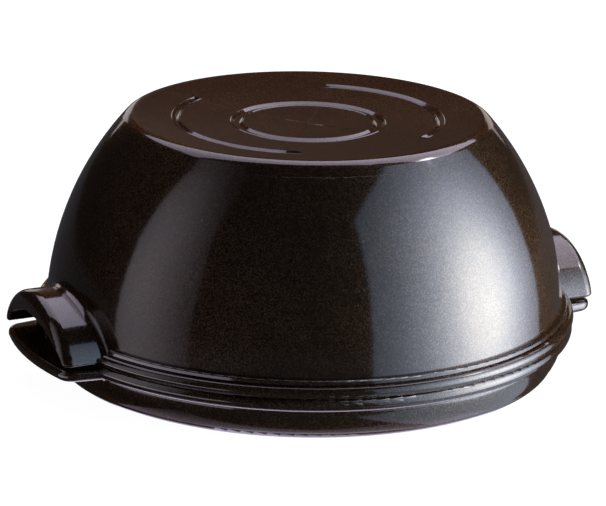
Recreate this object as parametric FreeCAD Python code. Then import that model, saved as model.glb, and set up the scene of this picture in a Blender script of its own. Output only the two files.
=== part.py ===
import FreeCAD, Part
import math
import os

V = FreeCAD.Vector
O = V(0, 0, 0)
UP = V(0, 0, 1)

# Sizes in millimetres. Z is up, the two handles lie along X, Z = 0 is the table.

# Whole body
cornerR = 142.4         # radius of the outer corner where lid and base meet
seatZ = 24.3            # height at which they meet
topZ = 132.2            # highest circle of the lid
wall = 7.5              # thickness of the ceramic
seatClearance = 1.3     # room between the locating lip and the inside of the lid
cutPast = 2.0           # how far a cutting shape runs past what it cuts

# Body behind the beads
neckIn = 4.2            # how far the body stands back from the corner
collarHigh = 11.0       # height of the straight collar of the lid

# Dome of the lid
domeArc = 163.2         # radius of the wall arc
domeFootIn = 4.6        # widest circle of the wall, measured in from the corner
domeCentreZ = 21.7      # height of that circle
domeShoulder = 8.0      # rounding from the wall to the top
topDip = 5.2            # how far the top is dished at its centre

# Rim beads
beadProud = 1.1         # how far the beads stand out beyond the corner
beadDeep = 6.4          # how far they reach into the body
beadLean = 0.2          # how far the crest of a bead lies nearer the seat
lidBeadHigh = 6.2       # height of the bead on the lid
baseBeadHigh = 7.1      # height of the bead on the base
lidCorner = 1.2         # rounding of the lid at the seat
baseCorner = 1.0        # rounding of the base at the seat
baseBeadFoot = 1.4      # ledge under the bead of the base
ridgeIn = 2.3           # narrow flat ridge above the bead of the lid
ridgeHigh = 3.2         # its top above the top of the bead
ridgeStep = 0.2         # groove between bead and ridge
ridgeRound = 0.8
beadEnd = 44.2          # from the middle line of a handle to the ends of the beads
ridgeEnd = 47.3         # the same for the narrow ridge

# Base
footIn = 12.8           # flat underside, measured in from the corner
footRound = 3.6         # rounding at the foot
footFlare = 4.3         # how far that rounding comes out
bellyIn = 1.6           # how far the side of the base stands back from its neck half way up
bellyZ = 8.4
bellyTop = 15.8         # from here up the side is straight
floorZ = 7.5            # inside floor
floorRound = 14.0       # rounding from the floor to the wall
lipHigh = 4.6           # locating lip above the seat
lipRound = 1.5

# Lid ears
earStand = 14.6         # how far an ear stands out beyond the corner at its middle
earDeep = 24.4          # how far its block reaches into the body
earSag = 2.6            # how far the edge falls back at the two ends
earCrestZ = 51.8        # top of the arch
earFootZ = 24.9         # underside of the two ends
earSpringZ = 15.0       # height of the centre of the arch
earHalf = 45.6          # half width at that height
earCrown = 10.2         # thickness of the arch at its top
earSide = 3.4           # thickness at its ends
earRoundTop = 6.0       # rounding of the outer edge above
earRoundUnder = 1.6     # and below
earBlend = 4.0          # hollow rounding where an ear meets the wall

# Base tabs
tabStand = 16.3         # how far a tab stands out beyond the corner at its middle
tabDeep = 30.4          # how far it reaches into the body
tabDown = 1.7           # its top below the seat
tabThick = 6.0
tabHalfOut = 41.8       # half width at the outer edge
tabHalfIn = 44.0        # half width at the body
tabCorner = 9.0         # corner rounding seen from above
tabRound = 2.6          # rounding of the edges
tabBlend = 3.5          # hollow rounding where a tab meets the body

# Ring channels on the top of the lid, each between two low lips
topRadius = 91.1        # the rings are placed for a flat part of this radius
outerRing = 71.9        # outside of the broken ring
outerRingWide = 4.9
innerRing = 41.0        # outside of the whole ring
innerRingWide = 7.0
lipRise = 0.4           # height of the lips above the top
lipWide = 0.9           # width of a lip
channelDeep = 0.9       # depth of the channels below the top
channelFloor = 0.6      # width left at the bottom of the narrower channel
ringSeam = 40.0         # where the whole ring starts, clear of the start of the top's own turn
ringJoin = 0.001        # tolerance with which the rings are joined to the top
outerSpans = ((-58.0, 115.0), (122.5, 119.0))    # where the arcs start and how far they run, in degrees

# Places that follow from these sizes
neck = cornerR - neckIn
beadOut = cornerR + beadProud
beadRoot = cornerR - beadDeep
lidBeadTop = seatZ + lidBeadHigh
baseBeadLow = seatZ - baseBeadHigh
ridgeOut = cornerR - ridgeIn
ridgeTop = lidBeadTop + ridgeHigh
domeCentreR = cornerR - domeFootIn - domeArc
footRadius = cornerR - footIn
earReach = cornerR + earStand
tabReach = cornerR + tabStand
tabTopZ = seatZ - tabDown
corner45 = 1 - math.sqrt(0.5)    # how far the middle of a quarter rounding lies inside its corner, per radius


def chain(points):
    """Edges through a list of corners; a pair of points is an arc through the first."""
    edges = []
    last = points[0]
    for item in points[1:]:
        start = V(last[0], 0, last[1])
        if isinstance(item[0], tuple):
            mid, last = item
            edges.append(Part.Arc(start, V(mid[0], 0, mid[1]), V(last[0], 0, last[1])).toShape())
        else:
            last = item
            edges.append(Part.LineSegment(start, V(last[0], 0, last[1])).toShape())
    return edges


def turned(points, start=90.0, sweep=360.0):
    """Solid of revolution about Z from a half section."""
    face = Part.Face(Part.Wire(chain(points + [points[0]])))
    solid = face.revolve(O, UP, sweep)
    solid.rotate(O, UP, start)
    return solid


def domePoint(arc, z):
    """Point of the wall at a height, for the outside or the inside arc."""
    return (domeCentreR + math.sqrt(arc ** 2 - (z - domeCentreZ) ** 2), z)


def shoulderCircle(arc, top, shoulder):
    """Centre of the rounding between the wall and the top."""
    centreZ = top - shoulder
    return domeCentreR + math.sqrt((arc - shoulder) ** 2 - (centreZ - domeCentreZ) ** 2), centreZ


def dishRadius(arc, top, shoulder):
    """Radius of the shallow dish that runs out into the shoulder rounding."""
    centreR = shoulderCircle(arc, top, shoulder)[0]
    rest = shoulder - topDip
    return (centreR ** 2 + rest ** 2 - shoulder ** 2) / (2 * (shoulder - rest))


def dishZ(r):
    """Height of the dished top of the lid at a radius."""
    radius = dishRadius(domeArc, topZ, domeShoulder)
    return topZ - topDip + radius - math.sqrt(radius ** 2 - r ** 2)


def domeOutline(arc, top, shoulder, start):
    """Half section of a dome: from the point start up the wall and over the dished top to the axis."""
    centreR, centreZ = shoulderCircle(arc, top, shoulder)
    scale = arc / (arc - shoulder)
    touch = (domeCentreR + (centreR - domeCentreR) * scale, domeCentreZ + (centreZ - domeCentreZ) * scale)
    radius = dishRadius(arc, top, shoulder)
    dishCentre = top - topDip + radius
    share = shoulder / (radius + shoulder)
    lip = (centreR * (1 - share), centreZ + (dishCentre - centreZ) * share)
    turn = (math.atan2(touch[1] - centreZ, touch[0] - centreR) + math.atan2(lip[1] - centreZ, lip[0] - centreR)) / 2
    middle = (centreR + shoulder * math.cos(turn), centreZ + shoulder * math.sin(turn))
    halfway = domePoint(arc, (start[1] + touch[1]) / 2)
    dish = (lip[0] / 2, dishCentre - math.sqrt(radius ** 2 - lip[0] ** 2 / 4))
    return [(0, start[1]), start, (halfway, touch), (middle, lip), (dish, (0, top - topDip))]


def both(shape):
    """The shape at +X together with its twin at -X."""
    twin = shape.copy()
    twin.rotate(O, UP, 180)
    return [shape, twin]


def rounded(shape, radius, wanted):
    """Rounds the edges that the test picks."""
    return shape.makeFillet(radius, [e for e in shape.Edges if wanted(e)])


def middleOf(edge):
    return edge.valueAt((edge.FirstParameter + edge.LastParameter) / 2)


def beadRing(outline, end):
    """A bead that runs round the rim and stops with round noses at both handles."""
    low = min(point[1] for point in outline if not isinstance(point[0], tuple))
    high = max(point[1] for point in outline if not isinstance(point[0], tuple))
    nose = (high - low) / 2
    turn = math.degrees(nose / cornerR)
    start = math.degrees(math.asin(end / cornerR)) + turn
    halfTurn = 180.0
    pieces = [turned(outline, start, halfTurn - 2 * start)]
    for middle in (start, halfTurn - start):
        along = V(math.cos(math.radians(middle)), math.sin(math.radians(middle)), 0)
        inside = beadRoot - wall
        drum = Part.makeCylinder(nose, beadOut + wall - inside,
                                 V(along.x * inside, along.y * inside, (low + high) / 2), along)
        pieces.append(turned(outline, middle - 2 * turn, 4 * turn).common(drum))
    return both(pieces[0].fuse(pieces[1:]).removeSplitter())


def archBlock(x, half, rise, length):
    """Solid half ellipse across the handle, running outwards from x."""
    centre = V(x, 0, earSpringZ)
    curve = Part.Ellipse(V(x, half, earSpringZ), V(x, 0, earSpringZ + rise), centre)
    return Part.Face(Part.Wire([curve.toShape()])).extrude(V(length, 0, 0))


def lidEar():
    """Arched ear, open outwards, with all its free edges rounded."""
    xIn = cornerR - earDeep
    run = earReach + wall - xIn
    rise = earCrestZ - earSpringZ
    ear = archBlock(xIn, earHalf, rise, run)
    ear = ear.cut(archBlock(xIn, earHalf - earSide, rise - earCrown, run))
    below = Part.makeBox(run + 2 * cutPast, 4 * earHalf, 2 * rise + earFootZ,
                         V(xIn - cutPast, -2 * earHalf, -2 * rise))
    ear = ear.cut(below)
    edgeArc = (earHalf ** 2 + earSag ** 2) / (2 * earSag)
    ear = ear.common(Part.makeCylinder(edgeArc, topZ, V(earReach - edgeArc, 0, 0)))
    free = xIn + earBlend / 4

    def crown(edge):
        box = edge.BoundBox
        return box.XMin > free and box.ZMax > earCrestZ - earCrown / 10

    ear = rounded(ear, earRoundTop, crown)

    def soft(edge):
        box = edge.BoundBox
        upper = box.ZLength > earCrown * 0.8 and box.ZMax > earCrestZ - earCrown * 0.9
        return box.XMax > free and not upper

    return rounded(ear, earRoundUnder, soft)


def baseTab():
    """Flat tab with an outer edge that follows the rim."""
    xIn = cornerR - tabDeep
    xOut = math.sqrt(tabReach ** 2 - tabHalfOut ** 2)
    slope = (tabHalfOut - tabHalfIn) / (xOut - neck)
    halfIn = tabHalfIn + slope * (xIn - neck)
    z = tabTopZ - tabThick
    corners = [V(xIn, -halfIn, z), V(xOut, -tabHalfOut, z), V(xOut, tabHalfOut, z), V(xIn, halfIn, z)]
    edges = [
        Part.LineSegment(corners[0], corners[1]).toShape(),
        Part.Arc(corners[1], V(tabReach, 0, z), corners[2]).toShape(),
        Part.LineSegment(corners[2], corners[3]).toShape(),
        Part.LineSegment(corners[3], corners[0]).toShape(),
    ]
    tab = Part.Face(Part.Wire(edges)).extrude(V(0, 0, tabThick))

    def corner(edge):
        box = edge.BoundBox
        return box.ZLength > tabThick / 2 and box.XMax > neck

    tab = rounded(tab, tabCorner, corner)

    def rim(edge):
        box = edge.BoundBox
        return box.ZLength < tabThick / 10 and box.XMax > xIn + tabRound / 2

    return rounded(tab, tabRound, rim)


def blended(body, parts, radius, wanted):
    """Parts fused to the body, with a hollow rounding along the lines where they meet."""
    joined = body.fuse(parts).removeSplitter()
    lines = []
    for edge in joined.Edges:
        if wanted(middleOf(edge)):
            lines.append(edge)
    try:
        return joined.makeFillet(radius, lines)
    except Exception as problem:
        print("blend of", radius, "left out:", problem, len(lines))
        return joined


def ringBand(outer, wide, start, sweep):
    """Low raised band on the dished top; its channel leaves two lips of it."""
    inner = outer - wide
    slope = lipWide / 2
    root = -2 * channelDeep
    corners = [(inner, root), (outer, root), (outer, 0), (outer - slope, lipRise), (inner + slope, lipRise), (inner, 0)]
    return turned([(r, dishZ(r) + high) for r, high in corners], start, sweep)


def ringChannel(outer, wide, start, sweep):
    """What is cut out of a band: sides sloping down from the crests of the lips to a flat bottom."""
    middle = outer - wide / 2
    crest = wide / 2 - lipWide * 0.6
    run = outerRingWide / 2 - lipWide * 0.6 - channelFloor / 2
    past = cutPast / (lipRise + channelDeep)
    corners = [(middle - crest + run, -channelDeep), (middle + crest - run, -channelDeep),
               (middle + crest + run * past, lipRise + cutPast), (middle - crest - run * past, lipRise + cutPast)]
    ends = math.degrees(lipWide * 0.6 / middle) if sweep < 360.0 else 0.0
    return turned([(r, dishZ(middle) + high) for r, high in corners], start + ends, sweep - 2 * ends)


def lidBead():
    """Half section of the bead on the lid: a soft corner at the seat, then a full curve."""
    crest = (seatZ + lidBeadTop) / 2 - beadLean
    lift = lidCorner * (math.sqrt(2) - 1)
    return [(beadRoot, seatZ), (cornerR - lidCorner, seatZ),
            ((cornerR, seatZ + lift), (cornerR + lift, seatZ + lidCorner)),
            ((beadOut, crest), (ridgeOut - ridgeRound * 0.75, lidBeadTop)), (beadRoot, lidBeadTop)]


def lidRidge():
    """Half section of the narrow ridge above it."""
    soft = ridgeRound * corner45
    low = lidBeadTop + ridgeStep
    back = ridgeOut - ridgeRound * 1.25
    return [(beadRoot, low - ridgeRound), (back, low - ridgeRound), (back, low), (ridgeOut - ridgeRound, low),
            ((ridgeOut - soft, low + soft), (ridgeOut, low + ridgeRound)), (ridgeOut, ridgeTop - ridgeRound),
            ((ridgeOut - soft, ridgeTop - soft), (ridgeOut - ridgeRound, ridgeTop)), (beadRoot, ridgeTop)]


def baseBead():
    """Half section of the bead on the base."""
    crest = (baseBeadLow + seatZ) / 2 + beadLean
    soft = baseCorner * corner45
    return [(beadRoot, baseBeadLow), (neck + baseBeadFoot, baseBeadLow),
            ((cornerR + beadProud / 2, crest), (cornerR, seatZ - baseCorner)),
            ((cornerR - soft, seatZ - soft), (cornerR - baseCorner, seatZ)), (beadRoot, seatZ)]


def buildLid():
    collar = domePoint(domeArc, seatZ + collarHigh)
    outside = domeOutline(domeArc, topZ, domeShoulder, collar)
    body = turned([(0, seatZ), (neck, seatZ), collar] + outside[2:])

    def meeting(point):
        if point.z < earFootZ + earRoundUnder / 2 or point.z > earCrestZ + earBlend:
            return False
        if abs(point.y) > earHalf + earBlend * 1.5 or abs(point.x) < earDeep + earHalf:
            return False
        return math.hypot(point.x, point.y) < domePoint(domeArc, point.z)[0] + earBlend * 0.4

    body = blended(body, both(lidEar()), earBlend, meeting)
    body = body.fuse(beadRing(lidBead(), beadEnd) + beadRing(lidRidge(), ridgeEnd))
    inner = domeArc - wall
    hollow = turned(domeOutline(inner, topZ - wall, domeShoulder + wall, domePoint(inner, seatZ - cutPast)))
    body = body.cut(hollow)
    scale = shoulderCircle(domeArc, topZ, domeShoulder)[0] / topRadius
    rings = [(outerRing * scale, outerRingWide, start, sweep) for start, sweep in outerSpans]
    rings.append((innerRing * scale, innerRingWide, ringSeam, 360.0))
    body = body.fuse([ringBand(*ring) for ring in rings], ringJoin).removeSplitter()
    return body.cut([ringChannel(*ring) for ring in rings], ringJoin).removeSplitter()


def buildBase():
    body = turned([
        (0, 0),
        (footRadius, 0),
        ((footRadius + footRound * (1 - corner45), footRound * corner45), (footRadius + footFlare, footRound)),
        ((neck - bellyIn, bellyZ), (neck, bellyTop)),
        (neck, seatZ),
        (0, seatZ),
    ])

    def meeting(point):
        if point.z < tabTopZ - tabThick - tabRound / 2 or point.z > tabTopZ + tabRound / 4:
            return False
        return abs(math.hypot(point.x, point.y) - neck) < tabRound / 2 and abs(point.x) > tabHalfIn

    body = blended(body, both(baseTab()), tabBlend, meeting)
    body = body.fuse(beadRing(baseBead(), beadEnd))
    lipTop = seatZ + lipHigh
    lipOut = domePoint(domeArc - wall, lipTop)[0] - seatClearance
    lipIn = lipOut - wall
    soft = lipRound * corner45
    lip = [(lipIn, seatZ - cutPast), (lipOut, seatZ - cutPast), (lipOut, lipTop - lipRound),
           ((lipOut - soft, lipTop - soft), (lipOut - lipRound, lipTop)), (lipIn + lipRound, lipTop),
           ((lipIn + soft, lipTop - soft), (lipIn, lipTop - lipRound))]
    body = body.fuse([turned(lip)])
    turn = floorRound * corner45
    hollow = turned([(0, floorZ), (lipIn - floorRound, floorZ),
                     ((lipIn - turn, floorZ + turn), (lipIn, floorZ + floorRound)),
                     (lipIn, lipTop + cutPast), (0, lipTop + cutPast)])
    return body.cut(hollow).removeSplitter()


def main():
    os.makedirs("parts", exist_ok=True)
    for name, build in (("lid", buildLid), ("base", buildBase)):
        shape = build()
        print(name, "solids", len(shape.Solids), "valid", shape.isValid(), "volume", round(shape.Volume),
              "faces", len(shape.Faces), "box", shape.BoundBox)
        if len(shape.Solids) == 1:
            shape = shape.Solids[0]
        shape.exportStep("parts/" + name + ".step")


main()
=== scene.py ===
import bpy
import math
from mathutils import Matrix

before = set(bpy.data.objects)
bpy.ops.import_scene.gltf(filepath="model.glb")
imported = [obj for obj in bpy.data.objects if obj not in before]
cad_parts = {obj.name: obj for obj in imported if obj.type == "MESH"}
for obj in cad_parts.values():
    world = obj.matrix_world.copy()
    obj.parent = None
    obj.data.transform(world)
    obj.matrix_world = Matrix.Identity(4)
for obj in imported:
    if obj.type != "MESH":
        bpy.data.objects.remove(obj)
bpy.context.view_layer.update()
print("baker loaded:", ", ".join(sorted(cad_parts)))

# The photo sees the ears turned a little away, so camera and lamps are turned by the same angle
studioTurn = 26.0
towardsCamera = Matrix.Rotation(math.radians(-studioTurn), 4, "Z")


# Node helpers

def newMaterial(name):
    material = bpy.data.materials.new(name)
    material.use_nodes = True
    nodes = material.node_tree.nodes
    nodes.clear()
    return material, nodes, material.node_tree.links


def addNode(nodes, kind, place, **values):
    node = nodes.new(kind)
    node.location = place
    for key, value in values.items():
        if hasattr(node, key):
            setattr(node, key, value)
        else:
            node.inputs[key.replace("_", " ")].default_value = value
    return node


def addMaths(nodes, links, operation, first, second, place):
    node = addNode(nodes, "ShaderNodeMath", place, operation=operation)
    for index, value in enumerate((first, second)):
        if isinstance(value, (int, float)):
            node.inputs[index].default_value = value
        elif value is not None:
            links.new(value, node.inputs[index])
    return node.outputs["Value"]


def addRange(nodes, links, value, place, start=(0.0, 1.0), end=(0.0, 1.0)):
    node = addNode(nodes, "ShaderNodeMapRange", place)
    node.inputs["From Min"].default_value = start[0]
    node.inputs["From Max"].default_value = start[1]
    node.inputs["To Min"].default_value = end[0]
    node.inputs["To Max"].default_value = end[1]
    links.new(value, node.inputs["Value"])
    return node.outputs["Result"]


def fillRamp(ramp, stops, smooth="EASE"):
    ramp.interpolation = smooth
    elements = ramp.elements
    while len(elements) > 1:
        elements.remove(elements[-1])
    for index, (position, colour) in enumerate(stops):
        element = elements[0] if index == 0 else elements.new(position)
        element.position = position
        element.color = (*colour, 1.0)


def grey(level):
    return (level, level, level)


# Glaze: a near-black brown stoneware glaze, glossy, with fine speckle and a slightly uneven skin

glazeLook = {
    "deep": (0.0160, 0.0092, 0.0050),     # the body of the glaze
    "warm": (0.0310, 0.0180, 0.0098),     # where it has pooled a little browner
    "clouds": {"Scale": 9.0, "Detail": 3.0, "Roughness": 0.55},
    "cloudEdges": (0.35, 0.68),           # below the first the body is deep, above the second warm
    "grain": {"Scale": 1800.0, "Randomness": 1.0},
    "grainLevels": [(0.0, 0.05), (0.5, 0.35), (1.0, 1.0)],
    "sparkle": 2.2,                       # how far the palest grain stands out
    "fleckColour": (0.16, 0.13, 0.11),    # rare pale mineral flecks
    "flecks": {"Scale": 240.0, "Randomness": 1.0},
    "fleckSpots": (0.16, 0.05),           # largest size in its cell, share of the cells that hold one
    "pitColour": (0.008, 0.006, 0.005),   # dark pinholes
    "pits": {"Scale": 330.0, "Randomness": 1.0},
    "pitSpots": (0.36, 0.12),
    "spotEdge": 0.14,                     # how softly flecks and pinholes end
    "skin": {"Scale": 38.0, "Detail": 1.5, "Roughness": 0.4},
    "skinBump": (0.5, 0.00035),           # strength and depth of the long waves of the fired skin
    "grainBump": (0.5, 0.00003),
    "pitBump": (0.4, 0.00003),
    "iron": (0.25, 0.75),                 # share of iron speckle in the darkest and the palest grain
    "ironTint": (1.0, 0.55, 0.30),
    "ironBlur": 0.42,
    "coat": (0.075, 0.11),                # blur of the clear glaze over it, from clean to hazy
    "ior": 1.60,
}

# Glaze runs into the ring channels of the lid's top and rounds them; radii in metres
poolLook = {
    "above": 0.1258,                      # only the outside of the top, above this height
    "whole": {"middle": 0.0375, "floor": 0.00135, "crest": 0.00296, "foot": 0.0035},
    "broken": {"middle": 0.0695, "floor": 0.0003, "crest": 0.00191, "foot": 0.00245},
    "fill": 0.00055,                      # how much higher it stands at the bottom of a channel
    "skirt": 0.00015,                     # and at the outer foot of its lips
    "skirtWidth": 0.8,                    # share of a lip's outer slope that the skirt takes
    "gap": (0.55, 0.62),                  # |x| / radius at which the broken ring's pool starts and is full
}


def poolHeight(nodes, links, place, look):
    split = addNode(nodes, "ShaderNodeSeparateXYZ", (-1300, -1000))
    links.new(place, split.inputs["Vector"])
    flat = addNode(nodes, "ShaderNodeVectorMath", (-1300, -1200), operation="MULTIPLY")
    flat.inputs[1].default_value = (1.0, 1.0, 0.0)
    links.new(place, flat.inputs[0])
    length = addNode(nodes, "ShaderNodeVectorMath", (-1120, -1200), operation="LENGTH")
    links.new(flat.outputs["Vector"], length.inputs[0])
    radius = length.outputs["Value"]
    heights = []
    for row, ring in enumerate((look["whole"], look["broken"])):
        level = -1000 - 260 * row
        off = addMaths(nodes, links, "SUBTRACT", radius, ring["middle"], (-900, level))
        off = addMaths(nodes, links, "ABSOLUTE", off, None, (-740, level))
        dip = (ring["floor"], ring["crest"])
        fill = addRange(nodes, links, off, (-580, level), dip, (look["fill"], 0.0))
        rim = (ring["foot"] - (ring["foot"] - ring["crest"]) * look["skirtWidth"], ring["foot"])
        skirt = addRange(nodes, links, off, (-580, level - 130), rim, (0.0, look["skirt"]))
        heights.append(addMaths(nodes, links, "ADD", fill, skirt, (-400, level)))
    side = addMaths(nodes, links, "DIVIDE", split.outputs["X"], radius, (-900, -1560))
    side = addMaths(nodes, links, "ABSOLUTE", side, None, (-740, -1560))
    here = addRange(nodes, links, side, (-580, -1560), look["gap"])
    broken = addMaths(nodes, links, "MULTIPLY", heights[1], here, (-240, -1260))
    both = addMaths(nodes, links, "ADD", heights[0], broken, (-80, -1100))
    outside = addMaths(nodes, links, "GREATER_THAN", split.outputs["Z"], look["above"], (-240, -1560))
    return addMaths(nodes, links, "MULTIPLY", both, outside, (80, -1100))


# Flecks or pinholes: only some cells hold one, and each has its own size
def spotMask(nodes, links, cells, spots, edge, place):
    x, y = place
    size, share = spots
    split = addNode(nodes, "ShaderNodeSeparateColor", (x, y - 120))
    links.new(cells.outputs["Color"], split.inputs["Color"])
    reach = addRange(nodes, links, split.outputs["Red"], (x + 180, y - 120), (1.0 - share, 1.0), (0.0, size))
    inside = addMaths(nodes, links, "SUBTRACT", reach, cells.outputs["Distance"], (x + 360, y))
    return addRange(nodes, links, inside, (x + 540, y), (0.0, edge))


def addBump(nodes, links, height, below, size, place, invert=False):
    bump = addNode(nodes, "ShaderNodeBump", place, Strength=size[0], Distance=size[1], invert=invert)
    links.new(height, bump.inputs["Height"])
    if below is not None:
        links.new(below, bump.inputs["Normal"])
    return bump.outputs["Normal"]


def makeGlaze(name, look, shift, pool):
    material, nodes, links = newMaterial(name)
    place = addNode(nodes, "ShaderNodeTexCoord", (-1500, 0))
    moved = addNode(nodes, "ShaderNodeMapping", (-1300, 0), Location=shift)
    links.new(place.outputs["Object"], moved.inputs["Vector"])

    def texture(kind, settings, y):
        node = addNode(nodes, kind, (-1050, y), **settings)
        links.new(moved.outputs["Vector"], node.inputs["Vector"])
        return node

    clouds = texture("ShaderNodeTexNoise", look["clouds"], 420)
    grain = texture("ShaderNodeTexVoronoi", look["grain"], 160)
    flecks = texture("ShaderNodeTexVoronoi", look["flecks"], -100)
    pits = texture("ShaderNodeTexVoronoi", look["pits"], -380)
    skin = texture("ShaderNodeTexNoise", look["skin"], -660)

    # body colour: cloudy brown, then grain
    body = addNode(nodes, "ShaderNodeValToRGB", (-800, 420))
    fillRamp(body.color_ramp, list(zip(look["cloudEdges"], (look["deep"], look["warm"]))))
    links.new(clouds.outputs["Fac"], body.inputs["Fac"])
    grainRamp = addNode(nodes, "ShaderNodeValToRGB", (-800, 160))
    fillRamp(grainRamp.color_ramp, [(spot, grey(level)) for spot, level in look["grainLevels"]], "LINEAR")
    shade = addNode(nodes, "ShaderNodeSeparateColor", (-960, 60))
    links.new(grain.outputs["Color"], shade.inputs["Color"])
    links.new(shade.outputs["Green"], grainRamp.inputs["Fac"])
    grained = addNode(nodes, "ShaderNodeMix", (-500, 340), data_type="RGBA", blend_type="MULTIPLY")
    grained.inputs[0].default_value = 1.0
    strong = addNode(nodes, "ShaderNodeVectorMath", (-640, 160), operation="SCALE")
    strong.inputs["Scale"].default_value = look["sparkle"]
    links.new(grainRamp.outputs["Color"], strong.inputs[0])
    links.new(body.outputs["Color"], grained.inputs[6])
    links.new(strong.outputs["Vector"], grained.inputs[7])

    # then the flecks and the pinholes over it
    fleckMask = spotMask(nodes, links, flecks, look["fleckSpots"], look["spotEdge"], (-840, -100))
    pitMask = spotMask(nodes, links, pits, look["pitSpots"], look["spotEdge"], (-840, -380))
    flecked = addNode(nodes, "ShaderNodeMix", (-60, 200), data_type="RGBA")
    flecked.inputs[7].default_value = (*look["fleckColour"], 1.0)
    links.new(fleckMask, flecked.inputs[0])
    links.new(grained.outputs[2], flecked.inputs[6])
    pitted = addNode(nodes, "ShaderNodeMix", (140, 120), data_type="RGBA")
    pitted.inputs[7].default_value = (*look["pitColour"], 1.0)
    links.new(pitMask, pitted.inputs[0])
    links.new(flecked.outputs[2], pitted.inputs[6])

    # skin: long shallow waves over the pooled glaze, then the grain and the pinholes
    pooled = None
    if pool:
        height = poolHeight(nodes, links, place.outputs["Object"], pool)
        pooled = addBump(nodes, links, height, None, (1.0, 1.0), (240, -900))
    waves = addBump(nodes, links, skin.outputs["Fac"], pooled, look["skinBump"], (140, -420))
    fine = addBump(nodes, links, grain.outputs["Distance"], waves, look["grainBump"], (340, -420))
    holes = addBump(nodes, links, pitMask, fine, look["pitBump"], (540, -420), invert=True)

    # a brown body with fine iron speckle that shines broadly, under one clear and slightly hazy glaze
    iron = addRange(nodes, links, shade.outputs["Green"], (340, -160), end=look["iron"])
    haze = addRange(nodes, links, shade.outputs["Red"], (140, -120), end=look["coat"])
    shader = addNode(nodes, "ShaderNodeBsdfPrincipled", (760, 100))
    shader.inputs["Roughness"].default_value = look["ironBlur"]
    shader.inputs["Specular IOR Level"].default_value = 0.0
    shader.inputs["Specular Tint"].default_value = (*look["ironTint"], 1.0)
    shader.inputs["Coat Weight"].default_value = 1.0
    shader.inputs["Coat IOR"].default_value = look["ior"]
    links.new(pitted.outputs[2], shader.inputs["Base Color"])
    links.new(iron, shader.inputs["Metallic"])
    links.new(haze, shader.inputs["Coat Roughness"])
    links.new(holes, shader.inputs["Normal"])
    links.new(waves, shader.inputs["Coat Normal"])
    out = addNode(nodes, "ShaderNodeOutputMaterial", (1060, 100))
    links.new(shader.outputs["BSDF"], out.inputs["Surface"])
    return material


# The shift keeps the two pieces from showing the same speckle
pieceLooks = {
    "lid": {"shift": (0.0, 0.0, 0.0), "pool": poolLook},
    "base": {"shift": (0.37, 0.259, -0.37), "pool": None},
}
for piece, look in pieceLooks.items():
    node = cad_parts[piece]
    material = makeGlaze(piece + "Glaze", glazeLook, look["shift"], look["pool"])
    for slot in node.material_slots:
        slot.material = material
print("glaze fired on lid and base")


# Studio: scrims on the right and overhead, a reflector on the left, papers behind, panels for the table

# Lengths in metres, angles in degrees, azimuth from the camera's side. Hot is the brightest point, in
# shares of width and height, fall gives the level at a distance from it, in widths of the panel, and
# stretch draws that fall out in height.
plainPanel = {"tilt": 0.0, "aside": 0.0, "hot": (0.5, 0.5), "stretch": 1.0}

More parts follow.
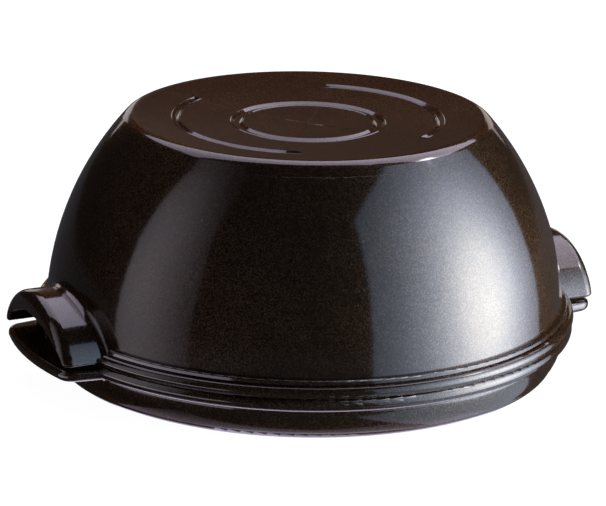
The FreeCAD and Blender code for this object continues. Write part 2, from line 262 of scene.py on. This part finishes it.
studioLamps = {
    "scrimRight": {                           # a wide cloth with one hot lamp behind it
        "azimuth": 75.5, "away": 1.5, "middle": 0.72, "width": 3.15, "tall": 3.0,
        "hot": (0.566, 0.29), "stretch": 1.35,
        "fall": [
            (0.0, 13.4), (0.07, 12.5), (0.13, 9.6), (0.20, 6.1),
            (0.29, 3.4), (0.40, 1.7), (0.54, 1.0), (0.8, 0.6),
        ],
        "edge": (0.54, 0.71, 1.0),            # bluish towards its edges
        "core": (0.93, 0.97, 1.0),            # and whiter over the lamp
    },
    "reflectorLeft": {
        "azimuth": -66.5, "away": 1.5, "middle": 0.85, "width": 1.02, "tall": 3.3,
        "hot": (0.30, 0.34), "stretch": 2.4,
        "fall": [(0.0, 1.05), (0.25, 0.85), (0.52, 0.36), (0.8, 0.05)],
        "edge": (0.95, 0.86, 1.0),
        "core": (0.97, 0.90, 1.0),
    },
    "scrimAbove": {
        "azimuth": 180.0, "away": 1.18, "middle": 1.6, "width": 3.0, "tall": 2.14,
        "tilt": 90.0, "aside": 0.2, "hot": (0.10, 0.60),
        "fall": [(0.0, 3.2), (0.35, 2.9), (0.65, 1.8), (1.0, 1.4)],
        "edge": (0.80, 0.75, 1.0),
        "core": (0.84, 0.80, 1.0),
    },
    "lampAbove": {
        "azimuth": 180.0, "away": 0.32, "middle": 1.59, "width": 0.34, "tall": 0.34,
        "tilt": 90.0, "aside": 1.34,
        "fall": [(0.0, 18.0), (0.3, 16.0), (0.5, 9.0)],
        "edge": (1.0, 0.98, 0.95),
        "core": (1.0, 1.0, 0.98),
    },
    "wallBehind": {                           # faint and warm
        "azimuth": 180.0, "away": 2.4, "middle": 0.80, "width": 0.95, "tall": 1.5,
        "hot": (1.0, 0.4),
        "fall": [(0.0, 0.13), (0.5, 0.06), (1.0, 0.02)],
        "edge": (1.0, 0.50, 0.22),
        "core": (1.0, 0.80, 0.80),
    },
    "paperBehindLeft": {                      # two small low papers
        "azimuth": -162.0, "away": 2.4, "middle": 0.40, "width": 0.70, "tall": 0.56,
        "fall": [(0.0, 0.9), (1.0, 0.7)],
        "edge": (1.0, 0.95, 0.97),
        "core": (1.0, 0.95, 0.97),
    },
    "paperBehindRight": {
        "azimuth": 162.0, "away": 2.4, "middle": 0.40, "width": 0.70, "tall": 0.56,
        "fall": [(0.0, 0.9), (1.0, 0.7)],
        "edge": (1.0, 0.90, 0.82),
        "core": (1.0, 0.90, 0.82),
    },
    "tableLeft": {                            # the last three stand for the bright table
        "azimuth": -62.0, "away": 1.5, "middle": -0.50, "width": 1.9, "tall": 0.36,
        "hot": (0.3, 0.5),
        "fall": [(0.0, 2.1), (0.9, 1.5)],
        "edge": (0.90, 0.84, 1.0),
        "core": (0.90, 0.84, 1.0),
    },
    "tableRight": {
        "azimuth": 0.0, "away": 0.12, "middle": -0.30, "width": 0.66, "tall": 0.80,
        "tilt": -90.0, "aside": 0.54, "hot": (0.72, 0.5),
        "fall": [(0.0, 2.3), (0.35, 1.9), (0.7, 0.9), (1.0, 0.4)],
        "edge": (0.60, 0.76, 1.0),
        "core": (0.64, 0.80, 1.0),
    },
    "tableUnder": {
        "azimuth": 0.0, "away": 0.0, "middle": -0.10, "width": 0.32, "tall": 0.32,
        "tilt": -90.0,
        "fall": [(0.0, 3.4), (0.43, 3.4), (0.46, 0.0)],
        "edge": (0.74, 0.75, 1.0),
        "core": (0.74, 0.75, 1.0),
    },
}


def softLamp(name, panel):
    look = {**plainPanel, **panel}
    lamp = bpy.data.lights.new(name, "AREA")
    lamp.shape = "RECTANGLE"
    lamp.size = look["width"]
    lamp.size_y = look["tall"]
    # radiance 1 needs this power: the nodes below then set the real level
    lamp.energy = math.pi * look["width"] * look["tall"]
    lamp.use_nodes = True
    nodes = lamp.node_tree.nodes
    links = lamp.node_tree.links
    emission = nodes.get("Emission")
    surface = addNode(nodes, "ShaderNodeNewGeometry", (-900, 0))
    offset = addNode(nodes, "ShaderNodeVectorMath", (-700, 0), operation="SUBTRACT")
    offset.inputs[1].default_value = (*look["hot"], 0.0)
    links.new(surface.outputs["Parametric"], offset.inputs[0])
    aspect = addNode(nodes, "ShaderNodeVectorMath", (-520, 0), operation="MULTIPLY")
    aspect.inputs[1].default_value = (1.0, look["tall"] / look["width"] / look["stretch"], 0.0)
    links.new(offset.outputs["Vector"], aspect.inputs[0])
    reach = addNode(nodes, "ShaderNodeVectorMath", (-340, 0), operation="LENGTH")
    links.new(aspect.outputs["Vector"], reach.inputs[0])
    peak = max(level for _, level in look["fall"])
    ramp = addNode(nodes, "ShaderNodeValToRGB", (-160, 0))
    fillRamp(ramp.color_ramp, [(spot, grey(level / peak)) for spot, level in look["fall"]], "B_SPLINE")
    links.new(reach.outputs["Value"], ramp.inputs["Fac"])
    strength = addMaths(nodes, links, "MULTIPLY", ramp.outputs["Color"], peak, (120, -120))
    links.new(strength, emission.inputs["Strength"])
    tint = addNode(nodes, "ShaderNodeMix", (120, 120), data_type="RGBA")
    tint.inputs[6].default_value = (*look["edge"], 1.0)
    tint.inputs[7].default_value = (*look["core"], 1.0)
    links.new(ramp.outputs["Color"], tint.inputs[0])
    links.new(tint.outputs[2], emission.inputs["Color"])

    turn = math.radians(look["azimuth"])
    right = math.sin(turn) * look["away"] + look["aside"]
    back = -math.cos(turn) * look["away"]
    spot = Matrix.Translation((right, back, look["middle"]))
    # a lamp shines along its own -Z: stood upright, turned to face the baker, then tilted down
    facing = Matrix.Rotation(turn, 4, "Z") @ Matrix.Rotation(math.radians(90.0 - look["tilt"]), 4, "X")
    thing = bpy.data.objects.new(name, lamp)
    bpy.context.scene.collection.objects.link(thing)
    thing.matrix_world = towardsCamera @ spot @ facing
    thing.visible_camera = False


for name, panel in studioLamps.items():
    softLamp(name, panel)
print("studio lamps hung")


# Floor and background: plain white to the camera, dark in the glaze, with a soft shadow under the baker

floorLook = {
    "size": 14.0,          # metres
    "below": 0.0004,       # the paper lies this far under the baker
    "white": 0.9,          # the paper's own colour
    "lift": 0.84,          # share of the paper's brightness that no shadow takes away
    "glow": 1.16,          # level of that share
    "inGlaze": 0.04,       # how much of the white the glaze picks up
}

surroundLook = {
    "white": 1.0,          # to the camera
    "room": 0.012,         # what the glaze sees where no lamp stands
}


def makeFloor(look):
    mesh = bpy.data.meshes.new("paperFloor")
    half = look["size"] / 2
    corners = [(-half, -half, 0), (half, -half, 0), (half, half, 0), (-half, half, 0)]
    mesh.from_pydata(corners, [], [(0, 1, 2, 3)])
    floor = bpy.data.objects.new("paperFloor", mesh)
    floor.location.z = -look["below"]
    bpy.context.scene.collection.objects.link(floor)

    material, nodes, links = newMaterial("whitePaper")
    rays = addNode(nodes, "ShaderNodeLightPath", (-900, 300)).outputs
    paper = addNode(nodes, "ShaderNodeBsdfDiffuse", (-400, 0), Color=(*grey(look["white"]), 1.0))
    glow = addNode(nodes, "ShaderNodeEmission", (-400, -160), Color=(1.0, 1.0, 1.0, 1.0))
    glow.inputs["Strength"].default_value = look["glow"]
    lifted = addMaths(nodes, links, "MULTIPLY", rays["Is Camera Ray"], look["lift"], (-640, 140))
    lit = addNode(nodes, "ShaderNodeMixShader", (-160, 0))
    links.new(lifted, lit.inputs["Fac"])
    links.new(paper.outputs["BSDF"], lit.inputs[1])
    links.new(glow.outputs["Emission"], lit.inputs[2])
    # the lamps stand on past the table's edge, so the paper lets their light and mirror image through
    missed = addMaths(nodes, links, "MULTIPLY", rays["Is Glossy Ray"], 1.0 - look["inGlaze"], (-640, 420))
    passed = addMaths(nodes, links, "MAXIMUM", missed, rays["Is Shadow Ray"], (-400, 420))
    through = addNode(nodes, "ShaderNodeBsdfTransparent", (-160, -220))
    mix = addNode(nodes, "ShaderNodeMixShader", (80, 0))
    links.new(passed, mix.inputs["Fac"])
    links.new(lit.outputs["Shader"], mix.inputs[1])
    links.new(through.outputs["BSDF"], mix.inputs[2])
    out = addNode(nodes, "ShaderNodeOutputMaterial", (300, 0))
    links.new(mix.outputs["Shader"], out.inputs["Surface"])
    mesh.materials.append(material)


def makeSurround(look):
    world = bpy.data.worlds.new("surround")
    bpy.context.scene.world = world
    world.use_nodes = True
    nodes = world.node_tree.nodes
    links = world.node_tree.links
    background = nodes.get("Background")
    background.inputs["Color"].default_value = (1.0, 1.0, 1.0, 1.0)
    rays = addNode(nodes, "ShaderNodeLightPath", (-700, 0)).outputs
    shown = addMaths(nodes, links, "MAXIMUM", rays["Is Camera Ray"], rays["Is Transmission Ray"], (-460, 0))
    level = addRange(nodes, links, shown, (-240, 0), end=(look["room"], look["white"]))
    links.new(level, background.inputs["Strength"])


makeFloor(floorLook)
makeSurround(surroundLook)
bpy.context.scene.view_settings.view_transform = "Standard"
print("paper floor rolled out")


# Camera: long lens from the photo's distance, looking 17 degrees down, tipped by about a degree

cameraLook = {
    "lens": 178.22,        # millimetres, as is the sensor's width
    "sensor": 36.0,
    "away": 1.5233,        # metres
    "height": 0.5326,
    "down": 17.391,        # degrees
    "pan": -0.049,
    "tip": 1.1447,
    "near": 0.05,
    "far": 60.0,
}


def makeCamera(look):
    lens = bpy.data.cameras.new("photoCamera")
    lens.lens = look["lens"]
    lens.sensor_width = look["sensor"]
    lens.clip_start = look["near"]
    lens.clip_end = look["far"]
    camera = bpy.data.objects.new("photoCamera", lens)
    bpy.context.scene.collection.objects.link(camera)
    stand = Matrix.Translation((0.0, -look["away"], look["height"]))
    pan = Matrix.Rotation(math.radians(-look["pan"]), 4, "Z")
    down = Matrix.Rotation(math.radians(90.0 - look["down"]), 4, "X")
    tip = Matrix.Rotation(math.radians(look["tip"]), 4, "Z")
    camera.matrix_world = towardsCamera @ stand @ pan @ down @ tip
    bpy.context.scene.camera = camera


makeCamera(cameraLook)
print("camera set")
